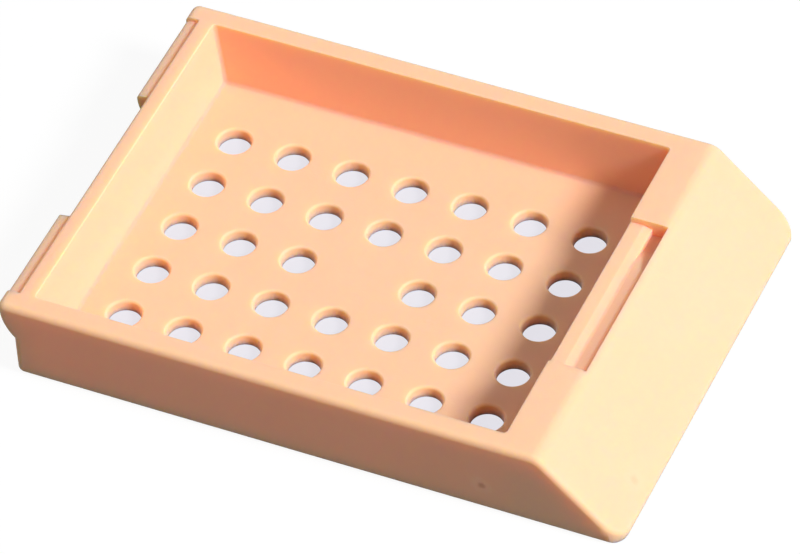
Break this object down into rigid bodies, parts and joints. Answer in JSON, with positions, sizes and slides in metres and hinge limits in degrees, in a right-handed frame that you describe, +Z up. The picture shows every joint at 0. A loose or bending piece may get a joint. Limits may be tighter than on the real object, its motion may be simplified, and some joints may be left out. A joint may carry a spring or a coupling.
{
  "type": "tissue cassette",
  "caption": "Moulded plastic tissue cassette base: a shallow perforated tray with a slanted writing panel, a catch recess in its ledge and lid lugs at the far end.",
  "frame": {"origin": "middle of the footprint, on the surface that the cassette lies on", "axes": "+X along the cassette, from the lid lugs to the writing slope; +Y across it, to the left of +X seen from above; +Z up, out of the tray's mouth"},
  "size_m": [0.0408, 0.0286, 0.0056],
  "materials": {
    "peach_acetal": "satin moulded acetal, slightly translucent"
  },
  "bodies": {
    "root": {"cassette_base": "peach_acetal"}
  },
  "joints": []
}
